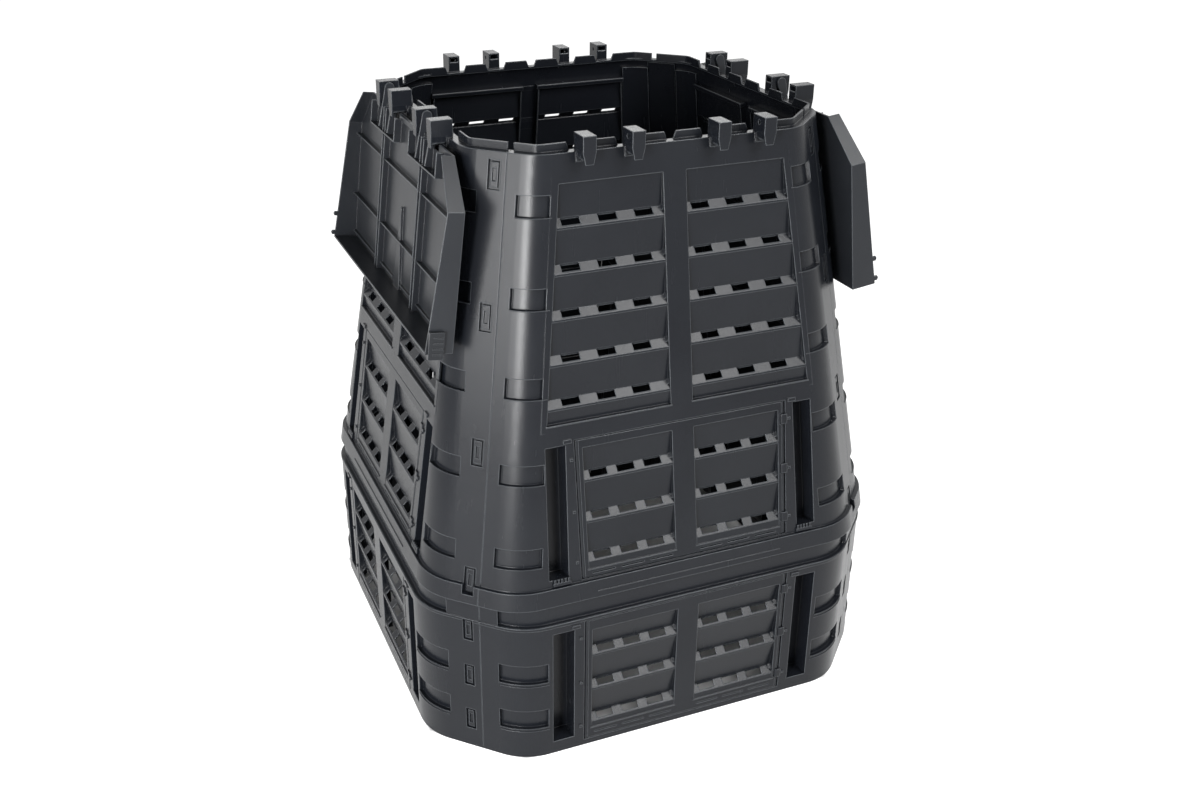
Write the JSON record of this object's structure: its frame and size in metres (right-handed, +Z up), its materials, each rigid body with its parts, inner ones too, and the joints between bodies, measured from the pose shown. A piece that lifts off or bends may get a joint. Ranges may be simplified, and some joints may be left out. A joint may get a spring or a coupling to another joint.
{
  "type": "compost bin with lid",
  "caption": "Square garden compost bin with a tapered louvred upper tier, hinged access doors on every side and a lid in two leaves that hang open or fold shut.",
  "frame": {"origin": "centre of the base on the ground", "axes": "+Z up, the front face toward -Y, the lid leaves on the -X and +X sides"},
  "size_m": [0.938, 0.938, 1.125],
  "materials": {
    "base_plastic": "charcoal black moulded plastic with a soft sheen",
    "upper_plastic": "charcoal black moulded plastic with a soft sheen",
    "door_plastic": "charcoal black moulded plastic with a soft sheen",
    "lid_plastic": "charcoal black moulded plastic, slightly paler on the ribs",
    "latch_plastic": "charcoal black moulded plastic"
  },
  "bodies": {
    "bin": {"base_panel_front": "base_plastic", "base_panel_right": "base_plastic", "base_panel_back": "base_plastic", "base_panel_left": "base_plastic", "upper_panel_front": "upper_plastic", "upper_panel_right": "upper_plastic", "upper_panel_back": "upper_plastic", "upper_panel_left": "upper_plastic"},
    "base_door_front": {"base_door_front": "door_plastic"},
    "upper_door_front": {"upper_door_front": "door_plastic"},
    "base_door_right": {"base_door_right": "door_plastic"},
    "upper_door_right": {"upper_door_right": "door_plastic"},
    "base_door_back": {"base_door_back": "door_plastic"},
    "upper_door_back": {"upper_door_back": "door_plastic"},
    "base_door_left": {"base_door_left": "door_plastic"},
    "upper_door_left": {"upper_door_left": "door_plastic"},
    "lid_left": {"lid_left": "lid_plastic"},
    "lid_latch_left": {"lid_latch_left": "latch_plastic"},
    "lid_right": {"lid_right": "lid_plastic"},
    "lid_latch_right": {"lid_latch_right": "latch_plastic"}
  },
  "joints": [
    {"name": "base_door_front_hinge", "type": "hinge", "parent": "bin", "child": "base_door_front", "pos_m": [0.2025, -0.4635, 0.1455], "axis": [0, 0, 1], "range_deg": [0, 95]},
    {"name": "upper_door_front_hinge", "type": "hinge", "parent": "bin", "child": "upper_door_front", "pos_m": [0.2025, -0.42757, 0.48529], "axis": [0, 0.1528, 0.9883], "range_deg": [0, 95]},
    {"name": "base_door_right_hinge", "type": "hinge", "parent": "bin", "child": "base_door_right", "pos_m": [0.4635, 0.2025, 0.1455], "axis": [0, 0, 1], "range_deg": [0, 95]},
    {"name": "upper_door_right_hinge", "type": "hinge", "parent": "bin", "child": "upper_door_right", "pos_m": [0.42757, 0.2025, 0.48529], "axis": [-0.1528, 0, 0.9883], "range_deg": [0, 95]},
    {"name": "base_door_back_hinge", "type": "hinge", "parent": "bin", "child": "base_door_back", "pos_m": [-0.2025, 0.4635, 0.1455], "axis": [0, 0, 1], "range_deg": [0, 95]},
    {"name": "upper_door_back_hinge", "type": "hinge", "parent": "bin", "child": "upper_door_back", "pos_m": [-0.2025, 0.42757, 0.48529], "axis": [0, -0.1528, 0.9883], "range_deg": [0, 95]},
    {"name": "base_door_left_hinge", "type": "hinge", "parent": "bin", "child": "base_door_left", "pos_m": [-0.4635, -0.2025, 0.1455], "axis": [0, 0, 1], "range_deg": [0, 95]},
    {"name": "upper_door_left_hinge", "type": "hinge", "parent": "bin", "child": "upper_door_left", "pos_m": [-0.42757, -0.2025, 0.48529], "axis": [0.1528, 0, 0.9883], "range_deg": [0, 95]},
    {"name": "lid_left_hinge", "type": "hinge", "parent": "bin", "child": "lid_left", "pos_m": [-0.349, 0, 1.114], "axis": [0, 1, 0], "range_deg": [0, 258.4]},
    {"name": "lid_latch_left_slide", "type": "slide", "parent": "lid_left", "child": "lid_latch_left", "axis": [-0.1219, 0, -0.9925], "range_m": [0, 0.01]},
    {"name": "lid_right_hinge", "type": "hinge", "parent": "bin", "child": "lid_right", "pos_m": [0.349, 0, 1.114], "axis": [0, -1, 0], "range_deg": [0, 258.4]},
    {"name": "lid_latch_right_slide", "type": "slide", "parent": "lid_right", "child": "lid_latch_right", "axis": [0.1219, 0, -0.9925], "range_m": [0, 0.01]}
  ]
}
